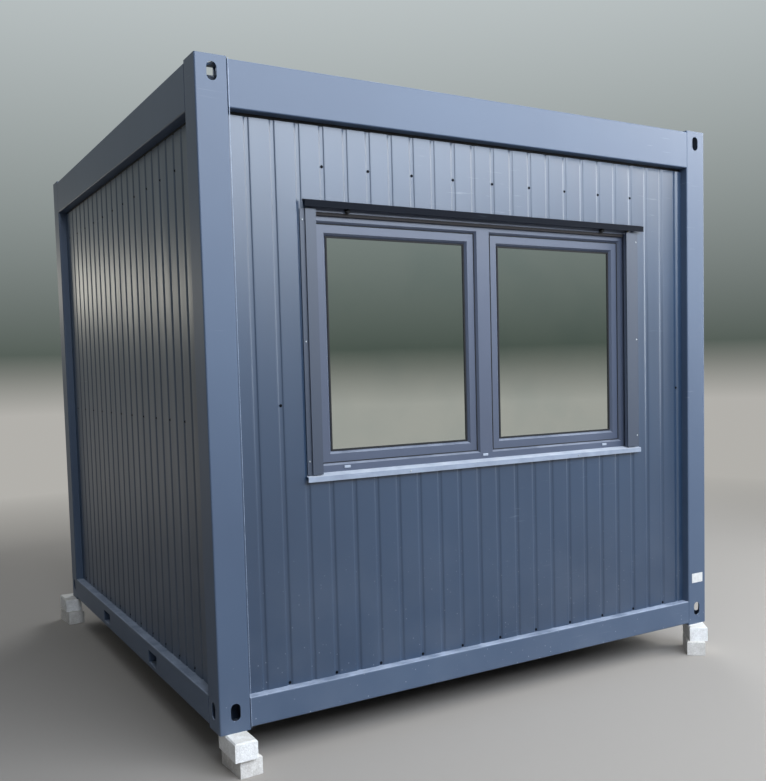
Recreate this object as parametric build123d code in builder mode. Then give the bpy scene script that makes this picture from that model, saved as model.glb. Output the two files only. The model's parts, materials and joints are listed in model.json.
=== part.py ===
"""A steel-framed site cabin with ribbed cladding, a two-sash window and concrete block piers, in millimetres."""

from build123d import *
import math
import os

os.makedirs("parts", exist_ok=True)

# The frame: outside faces of the corner posts, and the ground below the piers.
frame_width = 2940.0
frame_depth = 2990.0
frame_height = 2800.0
block_length = 200.0
block_width = 100.0
block_height = 80.0
block_bevel = 6.0
frame_underside = 2 * block_height

# Folded steel: posts, beams and joists.
post_size = 138.0
post_wall = 4.0
post_corner = 7.0
fold_radius = 6.0
beam_wall = 4.0
roof_beam_height = 197.0
roof_beam_top = frame_height - 8.0
roof_beam_bottom = roof_beam_top - roof_beam_height
roof_beam_flange = 130.0
roof_beam_lip = 45.0
gutter_width = 50.0
gutter_depth = 37.0
floor_beam_bottom = 10.0
floor_beam_top = 138.0
floor_beam_flange = 70.0
wall_inside = 130.0
joist_width = 45.0
joist_wall = 3.0
joist_bend = 4.0
floor_joist_pitch = 245.0
roof_joist_pitch = 420.0

# Corner slots and plates.
slot_width = 43.0
slot_height = 75.0
slot_from_side = 72.0
slot_from_top = 67.0
slot_from_bottom = 88.0
plate_thickness = 10.0
plate_hole_length = 110.0
plate_hole_width = 70.0
head_window_width = 66.0
head_window_from_side = 93.0

# Fork pockets.
pocket_width = 145.0
pocket_height = 65.0
pocket_bottom = 34.0
pocket_from_centre = 490.0
pocket_wall = 4.0

# Wall layers, as depths behind the faces of the posts.
cladding_face = 45.0
groove_depth = 5.0
groove_mouth = 26.0
groove_floor = 14.0
groove_pitch = 115.0
groove_first = 228.0
cladding_sheet = 1.5
core_face = cladding_face + groove_depth + cladding_sheet
lining_face = 118.0
seal_face = 52.0
seal_height = 15.0
wall_top = roof_beam_bottom - seal_height

# Floor, ceiling and roof.
floor_board = 22.0
floor_top = floor_beam_top
ceiling_board = seal_height
roof_sheet = 2.0
roof_sheet_underside = roof_beam_top - gutter_depth
roof_rib_height = 25.0
roof_rib_pitch = 240.0
roof_rib_base = 60.0
roof_rib_crown = 30.0

# The window, from the left edge of the front, hung under the shutter box, which hangs below the top of the wall.
window_width = 1894.0
window_height = 1168.0
opening_left = 505.0
opening_right = opening_left + window_width
wall_over_box = 170.0
shutter_box_height = 202.0
shutter_box_top = wall_top - wall_over_box
frame_top = shutter_box_top - shutter_box_height
opening_bottom = frame_top - window_height
cladding_cut_top = frame_top + 32.0
frame_face = 76.0
frame_back = 136.0
lip_left = opening_left + 35.0
lip_right = opening_right - 41.0
lip_bottom = opening_bottom + 50.0
lip_top = frame_top - 30.0
reveal_cover = 26.0
reveal_left = opening_left + reveal_cover
reveal_right = opening_right - reveal_cover
mullion_face = 74.0
frame_bevel = 10.0
frame_bevel_depth = 12.0
sash_flat = 40.0
bead_width = 12.0
bead_depth = 14.0
glass_face = frame_face + frame_bevel_depth + bead_depth
glass_thickness = 24.0


def frame_point(x, y, z):
    """A point given from the front left corner of the frame's underside, in the model's coordinates."""
    return (x - frame_width / 2, y - frame_depth / 2, z + frame_underside)


def groove_centres(length):
    """The middles of as many grooves as fit between the posts of a wall."""
    last_middle = length - post_size - groove_mouth / 2
    count = math.floor((last_middle - groove_first) / groove_pitch) + 1
    return [groove_first + groove_pitch * n for n in range(count)]


# Each wall: the corner at its left end seen from outside, the way along it, its length and its groove centres.
front_grooves = groove_centres(frame_width)
side_grooves = groove_centres(frame_depth)
walls = {
    "front": ((0, 0), (1, 0, 0), frame_width, front_grooves),
    "right": ((frame_width, 0), (0, 1, 0), frame_depth, side_grooves),
    "back": ((frame_width, frame_depth), (-1, 0, 0), frame_width, front_grooves),
    "left": ((0, frame_depth), (0, -1, 0), frame_depth, [frame_depth - c for c in reversed(side_grooves)]),
}


def wall_plan(side, height):
    """The plane seen from above: x along the wall, y into the building."""
    corner, along, _, _ = walls[side]
    return Plane(origin=frame_point(*corner, height), x_dir=along, z_dir=(0, 0, 1))


def wall_section(side, start):
    """The plane across a wall at a distance along it: x into the building, y up."""
    corner, along, _, _ = walls[side]
    inward = (-along[1], along[0], 0)
    place = Vector(*frame_point(*corner, 0)) + Vector(*along) * start
    return Plane(origin=place, x_dir=inward, z_dir=along)


def window_plane(depth):
    """The plane facing the front at a depth behind the frame's face: x to the right, y up."""
    return Plane(origin=frame_point(0, depth, 0), x_dir=(1, 0, 0), z_dir=(0, -1, 0))


def box_between(low, high):
    """A box between two corners given from the front left corner of the frame's underside."""
    size = [b - a for a, b in zip(low, high)]
    middle = [(a + b) / 2 for a, b in zip(low, high)]
    with Locations(frame_point(*middle)):
        Box(*size)


def rectangle_between(left, bottom, right, top):
    """A rectangle between two corners of the current sketch plane."""
    with Locations(((left + right) / 2, (bottom + top) / 2)):
        Rectangle(right - left, top - bottom)


def folded_sheet(points, radius, thickness, side):
    """A sheet of one thickness folded along the outside line given."""
    with BuildLine() as fold_line:
        FilletPolyline(*points, radius=radius)
        offset(amount=thickness, side=side)
    make_face(fold_line.edges())


def hand_over(builder, label):
    builder.part.label = label
    export_step(builder.part, f"parts/{label}.step")


# Corner posts: square tubes with folded corners, vertical slots near their ends, and heads open above the roof.
post_centres = {
    "front_left": (post_size / 2, post_size / 2),
    "front_right": (frame_width - post_size / 2, post_size / 2),
    "back_left": (post_size / 2, frame_depth - post_size / 2),
    "back_right": (frame_width - post_size / 2, frame_depth - post_size / 2),
}
for corner, (post_x, post_y) in post_centres.items():
    outer_x = 0 if post_x < frame_width / 2 else frame_width
    outer_y = 0 if post_y < frame_depth / 2 else frame_depth
    inward_x = 1 if outer_x == 0 else -1
    inward_y = 1 if outer_y == 0 else -1
    with BuildPart() as corner_post:
        with BuildSketch(Plane(origin=frame_point(post_x, post_y, 0))):
            RectangleRounded(post_size, post_size, post_corner)
            RectangleRounded(
                post_size - 2 * post_wall, post_size - 2 * post_wall, post_corner - post_wall, mode=Mode.SUBTRACT
            )
        extrude(amount=frame_height)
        slot_x = outer_x + inward_x * slot_from_side
        slot_y = outer_y + inward_y * slot_from_side
        face_plane = Plane(origin=frame_point(slot_x, outer_y, 0), x_dir=(1, 0, 0), z_dir=(0, -inward_y, 0))
        up = 1 if face_plane.y_dir.Z > 0 else -1
        with BuildSketch(face_plane):
            with Locations((0, up * slot_from_bottom), (0, up * (frame_height - slot_from_top))):
                SlotOverall(slot_height, slot_width, rotation=90)
        extrude(amount=-2 * post_wall, mode=Mode.SUBTRACT)
        side_plane = Plane(origin=frame_point(outer_x, slot_y, 0), x_dir=(0, 1, 0), z_dir=(-inward_x, 0, 0))
        up = 1 if side_plane.y_dir.Z > 0 else -1
        with BuildSketch(side_plane):
            with Locations((0, up * slot_from_bottom)):
                SlotOverall(slot_height, slot_width, rotation=90)
        extrude(amount=-2 * post_wall, mode=Mode.SUBTRACT)
        window_bottom = roof_sheet_underside + roof_sheet
        window_rise = frame_height - plate_thickness - window_bottom
        window_x = outer_x + inward_x * head_window_from_side
        window_y = outer_y + inward_y * head_window_from_side
        window_z = window_bottom + window_rise / 2
        with Locations(frame_point(window_x, outer_y + inward_y * post_size, window_z)):
            Box(head_window_width, 4 * post_wall, window_rise, mode=Mode.SUBTRACT)
        with Locations(frame_point(outer_x + inward_x * post_size, window_y, window_z)):
            Box(4 * post_wall, head_window_width, window_rise, mode=Mode.SUBTRACT)
    hand_over(corner_post, f"corner_post_{corner}")

# Holed plates that close the posts, at the head and at the foot.
for place, plate_bottom in (("top", frame_height - plate_thickness), ("bottom", 0.0)):
    with BuildPart() as corner_plates:
        for post_x, post_y in post_centres.values():
            with BuildSketch(Plane(origin=frame_point(post_x, post_y, plate_bottom))):
                RectangleRounded(
                    post_size - 2 * post_wall, post_size - 2 * post_wall, post_corner - post_wall
                )
                SlotOverall(plate_hole_length, plate_hole_width, rotation=90, mode=Mode.SUBTRACT)
            extrude(amount=plate_thickness)
    hand_over(corner_plates, f"corner_plates_{place}")

# Roof beams with a gutter lip above and a wide flange below, and floor beams with the ledge on top.
for side, (_, _, wall_length, _) in walls.items():
    beam_length = wall_length - 2 * post_size
    with BuildPart() as roof_beam:
        with BuildSketch(wall_section(side, post_size)):
            folded_sheet(
                [
                    (gutter_width, roof_sheet_underside),
                    (gutter_width, roof_beam_top),
                    (0, roof_beam_top),
                    (0, roof_beam_bottom),
                    (roof_beam_flange, roof_beam_bottom),
                    (roof_beam_flange, roof_beam_bottom + roof_beam_lip),
                ],
                fold_radius,
                beam_wall,
                Side.LEFT,
            )
        extrude(amount=beam_length)
    hand_over(roof_beam, f"roof_beam_{side}")

    with BuildPart() as floor_beam:
        with BuildSketch(wall_section(side, post_size)):
            folded_sheet(
                [
                    (wall_inside, floor_beam_top),
                    (0, floor_beam_top),
                    (0, floor_beam_bottom),
                    (floor_beam_flange, floor_beam_bottom),
                ],
                fold_radius,
                beam_wall,
                Side.LEFT,
            )
        extrude(amount=beam_length)
        if side in ("left", "right"):
            for way in (-1, 1):
                pocket_middle = frame_depth / 2 + way * pocket_from_centre
                edge_x = 0 if side == "left" else frame_width
                with Locations(frame_point(edge_x, pocket_middle, pocket_bottom + pocket_height / 2)):
                    Box(4 * beam_wall, pocket_width, pocket_height, mode=Mode.SUBTRACT)
    hand_over(floor_beam, f"floor_beam_{side}")

# Fork tunnels: tubes that run from one side beam to the other behind the pockets.
for name, way in (("front", -1), ("back", 1)):
    pocket_middle = frame_depth / 2 + way * pocket_from_centre
    with BuildPart() as fork_tunnel:
        with BuildSketch(
            Plane(
                origin=frame_point(beam_wall, pocket_middle, pocket_bottom + pocket_height / 2),
                x_dir=(0, 1, 0),
                z_dir=(1, 0, 0),
            )
        ):
            Rectangle(pocket_width + 2 * pocket_wall, pocket_height + 2 * pocket_wall)
            Rectangle(pocket_width, pocket_height, mode=Mode.SUBTRACT)
        extrude(amount=frame_width - 2 * beam_wall)
    hand_over(fork_tunnel, f"fork_tunnel_{name}")

# Floor joists: channels at one pitch between the side beams, left out where a fork tunnel runs.
joist_reach = math.floor((frame_depth / 2 - floor_beam_flange - joist_width / 2) / floor_joist_pitch)
tunnel_room = (pocket_width + joist_width) / 2 + pocket_wall
joist_offsets = [
    floor_joist_pitch * n
    for n in range(-joist_reach, joist_reach + 1)
    if abs(abs(floor_joist_pitch * n) - pocket_from_centre) > tunnel_room
]
floor_joist_bottom = floor_beam_bottom + fold_radius
floor_joist_top = floor_top - floor_board
with BuildPart() as floor_joists:
    for joist_offset in joist_offsets:
        joist_edge = frame_depth / 2 + joist_offset - joist_width / 2
        with BuildSketch(
            Plane(origin=frame_point(beam_wall, joist_edge, 0), x_dir=(0, 1, 0), z_dir=(1, 0, 0))
        ):
            folded_sheet(
                [
                    (joist_width, floor_joist_top),
                    (0, floor_joist_top),
                    (0, floor_joist_bottom),
                    (joist_width, floor_joist_bottom),
                ],
                joist_bend,
                joist_wall,
                Side.LEFT,
            )
        extrude(amount=frame_width - 2 * beam_wall)
hand_over(floor_joists, "floor_joists")


def board_with_notches(bottom, thickness, margin):
    """A board over the whole plan inside a margin, cut out round the corner posts."""
    box_between((margin, margin, bottom), (frame_width - margin, frame_depth - margin, bottom + thickness))
    for post_x, post_y in post_centres.values():
        with Locations(frame_point(post_x, post_y, bottom + thickness / 2)):
            Box(post_size, post_size, 3 * thickness, mode=Mode.SUBTRACT)


with BuildPart() as floor_deck:
    board_with_notches(floor_top - floor_board, floor_board, wall_inside)
hand_over(floor_deck, "floor_deck")

with BuildPart() as ceiling_panel:
    board_with_notches(wall_top, ceiling_board, lining_face)
hand_over(ceiling_panel, "ceiling_panel")

# Roof joists: deep channels under the roof sheet, as many as fit between the roof beams.
roof_joist_reach = math.floor((frame_depth / 2 - roof_beam_flange - joist_width / 2) / roof_joist_pitch)
with BuildPart() as roof_joists:
    for number in range(-roof_joist_reach, roof_joist_reach + 1):
        joist_edge = frame_depth / 2 + number * roof_joist_pitch - joist_width / 2
        with BuildSketch(
            Plane(origin=frame_point(roof_beam_flange, joist_edge, 0), x_dir=(0, 1, 0), z_dir=(1, 0, 0))
        ):
            folded_sheet(
                [
                    (joist_width, roof_sheet_underside),
                    (0, roof_sheet_underside),
                    (0, roof_beam_bottom),
                    (joist_width, roof_beam_bottom),
                ],
                joist_bend,
                joist_wall,
                Side.LEFT,
            )
        extrude(amount=frame_width - 2 * roof_beam_flange)
hand_over(roof_joists, "roof_joists")

# The roof sheet: one ribbed sheet lying between the gutter lips.
rib_reach = math.floor((frame_width / 2 - gutter_width - roof_rib_base / 2) / roof_rib_pitch)
rib_centres = [frame_width / 2 + n * roof_rib_pitch for n in range(-rib_reach, rib_reach + 1)]
with BuildPart() as roof_cover:
    with BuildSketch(
        Plane(origin=frame_point(0, gutter_width, 0), x_dir=(-1, 0, 0), z_dir=(0, 1, 0))
    ) as roof_section:
        rib_slope = math.hypot((roof_rib_base - roof_rib_crown) / 2, roof_rib_height)
        spread = roof_sheet * (rib_slope - (roof_rib_base - roof_rib_crown) / 2) / roof_rib_height
        lower = [(-gutter_width, roof_sheet_underside)]
        upper = [(-gutter_width, roof_sheet_underside + roof_sheet)]
        for centre in rib_centres:
            for way, half, lift in (
                (-1, roof_rib_base / 2, 0.0),
                (-1, roof_rib_crown / 2, roof_rib_height),
                (1, roof_rib_crown / 2, roof_rib_height),
                (1, roof_rib_base / 2, 0.0),
            ):
                lower.append((-(centre + way * half), roof_sheet_underside + lift))
                upper.append((-(centre + way * (half + spread)), roof_sheet_underside + roof_sheet + lift))
        lower.append((-(frame_width - gutter_width), roof_sheet_underside))
        upper.append((-(frame_width - gutter_width), roof_sheet_underside + roof_sheet))
        with BuildLine():
            Polyline(*lower, *reversed(upper), close=True)
        make_face()
    extrude(amount=frame_depth - 2 * gutter_width)
    for post_x, post_y in post_centres.values():
        with Locations(frame_point(post_x, post_y, roof_beam_top)):
            Box(post_size, post_size, 6 * roof_rib_height, mode=Mode.SUBTRACT)
hand_over(roof_cover, "roof_sheet")


def cladding_outline(length, centres):
    """The plan outline of a sheet with sunk trapezium grooves, between the posts."""
    flank = (groove_mouth - groove_floor) / 2
    spread = cladding_sheet * (math.hypot(flank, groove_depth) - flank) / groove_depth
    face = [(post_size, cladding_face)]
    rear = [(post_size, cladding_face + cladding_sheet)]
    for centre in centres:
        for way, half, sink in (
            (-1, groove_mouth / 2, 0.0),
            (-1, groove_floor / 2, groove_depth),
            (1, groove_floor / 2, groove_depth),
            (1, groove_mouth / 2, 0.0),
        ):
            face.append((centre + way * half, cladding_face + sink))
            rear.append((centre + way * (half + spread), cladding_face + cladding_sheet + sink))
    face.append((length - post_size, cladding_face))
    rear.append((length - post_size, cladding_face + cladding_sheet))
    return face + rear[::-1]


# Wall by wall: ribbed cladding, core, lining and the seal under the roof beam.
for side, (_, _, wall_length, grooves) in walls.items():
    with BuildPart() as cladding:
        with BuildSketch(wall_plan(side, floor_beam_top)):
            with BuildLine():
                Polyline(*cladding_outline(wall_length, grooves), close=True)
            make_face()
        extrude(amount=wall_top - floor_beam_top)
        if side == "front":
            with BuildSketch(window_plane(0)):
                rectangle_between(opening_left, opening_bottom, opening_right, cladding_cut_top)
            extrude(amount=-core_face, mode=Mode.SUBTRACT)
    hand_over(cladding, f"cladding_{side}")

    with BuildPart() as lining:
        with BuildSketch(wall_plan(side, floor_beam_top)):
            rectangle_between(post_size, lining_face, wall_length - post_size, wall_inside)
        extrude(amount=wall_top - floor_beam_top)
        if side == "front":
            with BuildSketch(window_plane(0)):
                rectangle_between(opening_left, opening_bottom, opening_right, shutter_box_top)
            extrude(amount=-2 * wall_inside, mode=Mode.SUBTRACT)
    hand_over(lining, f"lining_{side}")

    if side == "front":
        continue
    with BuildPart() as wall_core:
        with BuildSketch(wall_plan(side, floor_beam_top)):
            rectangle_between(post_size, core_face, wall_length - post_size, lining_face)
        extrude(amount=wall_top - floor_beam_top)
    hand_over(wall_core, f"wall_core_{side}")

# The front wall's core, in pieces round the window.
with BuildPart() as front_core_below:
    box_between((post_size, core_face, floor_beam_top), (frame_width - post_size, lining_face, opening_bottom))
hand_over(front_core_below, "wall_core_front_below")

with BuildPart() as front_core_above:
    box_between((post_size, core_face, shutter_box_top), (frame_width - post_size, lining_face, wall_top))
hand_over(front_core_above, "wall_core_front_above")

with BuildPart() as front_core_left:
    box_between((post_size, core_face, opening_bottom), (opening_left, lining_face, shutter_box_top))
hand_over(front_core_left, "wall_core_front_left")

with BuildPart() as front_core_right:
    box_between((opening_right, core_face, opening_bottom), (frame_width - post_size, lining_face, shutter_box_top))
hand_over(front_core_right, "wall_core_front_right")

with BuildPart() as seal_strips:
    for side, (_, _, wall_length, _) in walls.items():
        with BuildSketch(wall_plan(side, wall_top)):
            rectangle_between(post_size, seal_face, wall_length - post_size, lining_face)
        extrude(amount=roof_beam_bottom - wall_top)
hand_over(seal_strips, "seal_strips")

# The window frame with its mullion, and two sashes with their panes.
mullion_middle = (lip_left + lip_right) / 2
light_spans = {
    "left": (lip_left, mullion_middle - mullion_face / 2),
    "right": (mullion_middle + mullion_face / 2, lip_right),
}
with BuildPart() as window_frame:
    with BuildSketch(window_plane(frame_back)):
        rectangle_between(opening_left, opening_bottom, opening_right, frame_top)
    extrude(amount=frame_back - frame_face)
    for light_left, light_right in light_spans.values():
        with BuildSketch(window_plane(frame_back)):
            rectangle_between(
                light_left + frame_bevel, lip_bottom + frame_bevel, light_right - frame_bevel, lip_top - frame_bevel
            )
        extrude(amount=frame_back - frame_face, mode=Mode.SUBTRACT)
        with BuildSketch(window_plane(frame_face + frame_bevel_depth)):
            rectangle_between(
                light_left + frame_bevel, lip_bottom + frame_bevel, light_right - frame_bevel, lip_top - frame_bevel
            )
        with BuildSketch(window_plane(frame_face)):
            rectangle_between(light_left, lip_bottom, light_right, lip_top)
        loft(mode=Mode.SUBTRACT)
hand_over(window_frame, "window_frame")

sash_face = frame_face + frame_bevel_depth
for light, (light_left, light_right) in light_spans.items():
    sash_left = light_left + frame_bevel
    sash_right = light_right - frame_bevel
    sash_bottom = lip_bottom + frame_bevel
    sash_top = lip_top - frame_bevel
    pane_inset = sash_flat + bead_width
    with BuildPart() as sash:
        with BuildSketch(window_plane(frame_back)):
            rectangle_between(sash_left, sash_bottom, sash_right, sash_top)
        extrude(amount=frame_back - sash_face)
        with BuildSketch(window_plane(frame_back)):
            rectangle_between(
                sash_left + pane_inset, sash_bottom + pane_inset, sash_right - pane_inset, sash_top - pane_inset
            )
        extrude(amount=frame_back - sash_face, mode=Mode.SUBTRACT)
        with BuildSketch(window_plane(glass_face)):
            rectangle_between(
                sash_left + pane_inset, sash_bottom + pane_inset, sash_right - pane_inset, sash_top - pane_inset
            )
        with BuildSketch(window_plane(sash_face)):
            rectangle_between(
                sash_left + sash_flat, sash_bottom + sash_flat, sash_right - sash_flat, sash_top - sash_flat
            )
        loft(mode=Mode.SUBTRACT)
    hand_over(sash, f"sash_{light}")

    with BuildPart() as pane:
        with BuildSketch(window_plane(glass_face + glass_thickness)):
            rectangle_between(
                sash_left + pane_inset, sash_bottom + pane_inset, sash_right - pane_inset, sash_top - pane_inset
            )
        extrude(amount=glass_thickness)
    hand_over(pane, f"glass_{light}")

# The sill: a folded front lip along its whole length and a sloped top in the opening.
sill_left = opening_left - 52.0
sill_right = opening_right + 60.0
sill_face = 25.0
sill_nose = opening_bottom + 10.0
sill_lip_bottom = sill_nose - 23.0
sill_rise = 10.0
sill_sheet = 3.0
sill_slope = sill_rise / (frame_face - sill_face)
sill_at_wall = sill_nose + sill_slope * (cladding_face - sill_face)
with BuildPart() as window_sill:
    with BuildSketch(wall_section("front", sill_left)):
        with BuildLine():
            Polyline(
                (sill_face, sill_lip_bottom),
                (sill_face, sill_nose),
                (cladding_face, sill_at_wall),
                (cladding_face, sill_at_wall - sill_sheet),
                (sill_face + sill_sheet, sill_nose - sill_sheet),
                (sill_face + sill_sheet, sill_lip_bottom),
                close=True,
            )
        make_face()
    extrude(amount=sill_right - sill_left)
    with BuildSketch(wall_section("front", opening_left)):
        with BuildLine():
            Polyline(
                (cladding_face, sill_at_wall),
                (frame_face, sill_nose + sill_rise),
                (frame_face, opening_bottom),
                (cladding_face, opening_bottom),
                close=True,
            )
        make_face()
    extrude(amount=opening_right - opening_left)
hand_over(window_sill, "window_sill")

# The drip flashing over the window.
flashing_reach_left = 32.0
flashing_reach_right = 87.0
flashing_left = opening_left - flashing_reach_left
flashing_right = opening_right + flashing_reach_right
flashing_face = 20.0
flashing_bottom = frame_top + 19.0
flashing_edge = flashing_bottom + 28.0
flashing_back = flashing_edge + 7.0
flashing_sheet = 3.0
with BuildPart() as drip_flashing:
    with BuildSketch(wall_section("front", flashing_left)):
        with BuildLine():
            Polyline(
                (flashing_face, flashing_bottom),
                (flashing_face, flashing_edge),
                (cladding_face, flashing_back),
                (cladding_face, flashing_back - flashing_sheet),
                (flashing_face + flashing_sheet, flashing_edge - flashing_sheet),
                (flashing_face + flashing_sheet, flashing_bottom),
                close=True,
            )
        make_face()
    extrude(amount=flashing_right - flashing_left)
hand_over(drip_flashing, "drip_flashing")

# Side trims: raised covers with a rivet flange on the outer side.
trim_face = 35.0
trim_sheet = 2.0
trim_gap = 7.0
trim_bottom = sill_nose + trim_gap
trim_top = flashing_bottom - trim_gap
trim_reach_left = 47.0
trim_step_left = 24.0
trim_reach_right = 63.0
trim_step_right = 37.0
for name, flange_edge, step, inner_edge in (
    ("left", opening_left - trim_reach_left, opening_left - trim_step_left, reveal_left),
    ("right", opening_right + trim_reach_right, opening_right + trim_step_right, reveal_right),
):
    way = 1 if inner_edge > flange_edge else -1
    outline = [
        (flange_edge, cladding_face),
        (flange_edge, cladding_face - trim_sheet),
        (step, cladding_face - trim_sheet),
        (step, trim_face),
        (inner_edge, trim_face),
        (inner_edge, cladding_face),
        (inner_edge - way * trim_sheet, cladding_face),
        (inner_edge - way * trim_sheet, trim_face + trim_sheet),
        (step + way * trim_sheet, trim_face + trim_sheet),
        (step + way * trim_sheet, cladding_face),
    ]
    with BuildPart() as side_trim:
        with BuildSketch(wall_plan("front", trim_bottom)):
            with BuildLine():
                Polyline(*outline, close=True)
            make_face()
        extrude(amount=trim_top - trim_bottom)
    hand_over(side_trim, f"window_trim_{name}")

# Shutter guides: channels in the reveal, open towards the window.
guide_slot_front = 59.0
guide_slot_back = 74.0
guide_slot_reach = 18.0
guide_bottom = sill_nose + sill_rise
with BuildPart() as shutter_guides:
    for outer_edge, inner_edge in ((opening_left, reveal_left), (opening_right, reveal_right)):
        way = 1 if inner_edge > outer_edge else -1
        with BuildSketch(wall_plan("front", guide_bottom)):
            rectangle_between(min(outer_edge, inner_edge), cladding_face, max(outer_edge, inner_edge), frame_face)
            slot_middle = inner_edge - way * guide_slot_reach / 2
            with Locations((slot_middle, (guide_slot_front + guide_slot_back) / 2)):
                Rectangle(guide_slot_reach, guide_slot_back - guide_slot_front, mode=Mode.SUBTRACT)
        extrude(amount=frame_top - guide_bottom)
hand_over(shutter_guides, "shutter_guides")

# The shutter box over the window, open below in front of the window frame.
box_front = 56.5
box_back = 240.0
box_wall = 4.0
with BuildPart() as shutter_box:
    with BuildSketch(wall_section("front", opening_left)):
        rectangle_between(box_front, frame_top, box_back, shutter_box_top)
    extrude(amount=opening_right - opening_left)
    with BuildSketch(wall_section("front", opening_left + box_wall)):
        rectangle_between(
            box_front + box_wall, frame_top + box_wall, box_back - box_wall, shutter_box_top - box_wall
        )
        rectangle_between(box_front, frame_top, frame_face, frame_top + box_wall)
    extrude(amount=opening_right - opening_left - 2 * box_wall, mode=Mode.SUBTRACT)
hand_over(shutter_box, "shutter_box")

# The roller shutter, rolled up: the roll, the hanging slats and the end bar.
curtain_front = 63.0
curtain_back = 71.0
roll_radius = 72.0
roll_headroom = 22.0
roll_middle = shutter_box_top - box_wall - roll_headroom - roll_radius
curtain_grip = 2.0
end_bar_front = 61.0
end_bar_back = 73.0
end_bar_height = 26.0
end_bar_bottom = frame_top - 9.0
end_bar_top = end_bar_bottom + end_bar_height
shutter_play = 2.0
shutter_left = reveal_left + shutter_play
shutter_right = reveal_right - shutter_play
with BuildPart() as roller_shutter:
    box_between(
        (shutter_left, end_bar_front, end_bar_bottom), (shutter_right, end_bar_back, end_bar_top)
    )
    box_between((shutter_left, curtain_front, end_bar_top), (shutter_right, curtain_back, roll_middle))
    with BuildSketch(wall_section("front", shutter_left)):
        with Locations((curtain_back - curtain_grip + roll_radius, roll_middle)):
            Circle(roll_radius)
    extrude(amount=shutter_right - shutter_left)
hand_over(roller_shutter, "roller_shutter")

# Concrete paving blocks, two under each corner: how far the middle lies in from the corner, and the turn.
block_places = {
    "upper": {
        "front_left": (71.0, -17.0, 90.0),
        "front_right": (67.0, 18.0, 54.0),
        "back_left": (-22.0, 31.0, 90.0),
        "back_right": (-10.0, -17.0, 90.0),
    },
    "lower": {
        "front_left": (93.0, 5.0, 93.0),
        "front_right": (82.0, 14.0, 50.0),
        "back_left": (-21.0, 63.0, 95.0),
        "back_right": (-21.0, 63.0, 85.0),
    },
}
for name, block_bottom in (("upper", -block_height), ("lower", -2 * block_height)):
    with BuildPart() as pier_blocks:
        for corner, (across, deep, turn) in block_places[name].items():
            block_x = across if corner.endswith("left") else frame_width - across
            block_y = deep if corner.startswith("front") else frame_depth - deep
            with Locations(Location(frame_point(block_x, block_y, block_bottom + block_height / 2), (0, 0, turn))):
                Box(block_length, block_width, block_height)
        chamfer(pier_blocks.edges().group_by(Axis.Z)[-1], length=block_bevel)
    hand_over(pier_blocks, f"pier_blocks_{name}")
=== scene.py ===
import bpy
import bmesh
import json
import math
from mathutils import Matrix, Vector, noise


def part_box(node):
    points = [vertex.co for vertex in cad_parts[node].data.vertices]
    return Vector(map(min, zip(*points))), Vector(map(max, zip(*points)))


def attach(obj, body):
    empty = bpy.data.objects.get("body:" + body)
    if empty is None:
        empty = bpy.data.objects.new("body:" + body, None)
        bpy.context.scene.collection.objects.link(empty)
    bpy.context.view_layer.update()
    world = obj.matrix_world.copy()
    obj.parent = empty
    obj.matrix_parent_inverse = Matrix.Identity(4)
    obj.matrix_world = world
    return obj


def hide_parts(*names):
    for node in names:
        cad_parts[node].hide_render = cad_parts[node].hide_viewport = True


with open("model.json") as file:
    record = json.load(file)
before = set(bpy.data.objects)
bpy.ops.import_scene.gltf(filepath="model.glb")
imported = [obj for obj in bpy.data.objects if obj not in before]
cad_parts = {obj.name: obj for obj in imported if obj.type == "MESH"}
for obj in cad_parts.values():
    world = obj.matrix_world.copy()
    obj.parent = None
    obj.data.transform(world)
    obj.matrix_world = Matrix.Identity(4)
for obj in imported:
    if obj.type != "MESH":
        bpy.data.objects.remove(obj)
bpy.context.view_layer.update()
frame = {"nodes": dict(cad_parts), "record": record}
nodes = frame["nodes"]
print("frame loaded:", len(nodes), "nodes")

perMetre = 1000.0  # millimetres
# The cabin's own datum: front left corner of the steel frame, at the underside of the posts
nearLow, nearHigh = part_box("corner_post_front_left")
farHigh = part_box("corner_post_back_right")[1]
datum = Vector(nearLow)
frameWidth = (farHigh[0] - nearLow[0]) * perMetre
frameDepth = (farHigh[1] - nearLow[1]) * perMetre


def place(x, depth, z):  # millimetres from the datum, to metres in the model's frame
    return datum + Vector((x, depth, z)) / perMetre


# Small helpers for building shader trees
def addNode(tree, kind, **settings):
    node = tree.nodes.new(kind)
    for key, value in settings.items():
        setattr(node, key, value)
    return node


def plug(tree, source, target):  # an output is linked to the socket, and a plain value is set on it
    if isinstance(source, bpy.types.NodeSocket):
        tree.links.new(source, target)
    else:
        target.default_value = source


def newGroup(name, output, **inputs):
    group = bpy.data.node_groups.new(name, "ShaderNodeTree")
    for label, value in inputs.items():
        socket = group.interface.new_socket(name=label, in_out="INPUT", socket_type="NodeSocketFloat")
        socket.default_value = value
    group.interface.new_socket(name=output, in_out="OUTPUT", socket_type="NodeSocketFloat")
    return group, group.nodes.new("NodeGroupInput"), group.nodes.new("NodeGroupOutput")


def useGroup(tree, group, **values):  # places a shared effect and gives its one output
    node = addNode(tree, "ShaderNodeGroup", node_tree=group)
    for key, value in values.items():
        node.inputs[key].default_value = value
    return node.outputs[0]


def mathNode(tree, operation, first, second, clamp=False):
    node = addNode(tree, "ShaderNodeMath", operation=operation, use_clamp=clamp)
    plug(tree, first, node.inputs[0])
    plug(tree, second, node.inputs[1])
    return node.outputs[0]


def ramp(tree, source, low, high, outLow=0.0, outHigh=1.0):  # low to high becomes outLow to outHigh
    node = addNode(tree, "ShaderNodeMapRange", clamp=True)
    keys = ("Value", "From Min", "From Max", "To Min", "To Max")
    for key, value in zip(keys, (source, low, high, outLow, outHigh)):
        plug(tree, value, node.inputs[key])
    return node.outputs[0]


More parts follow.
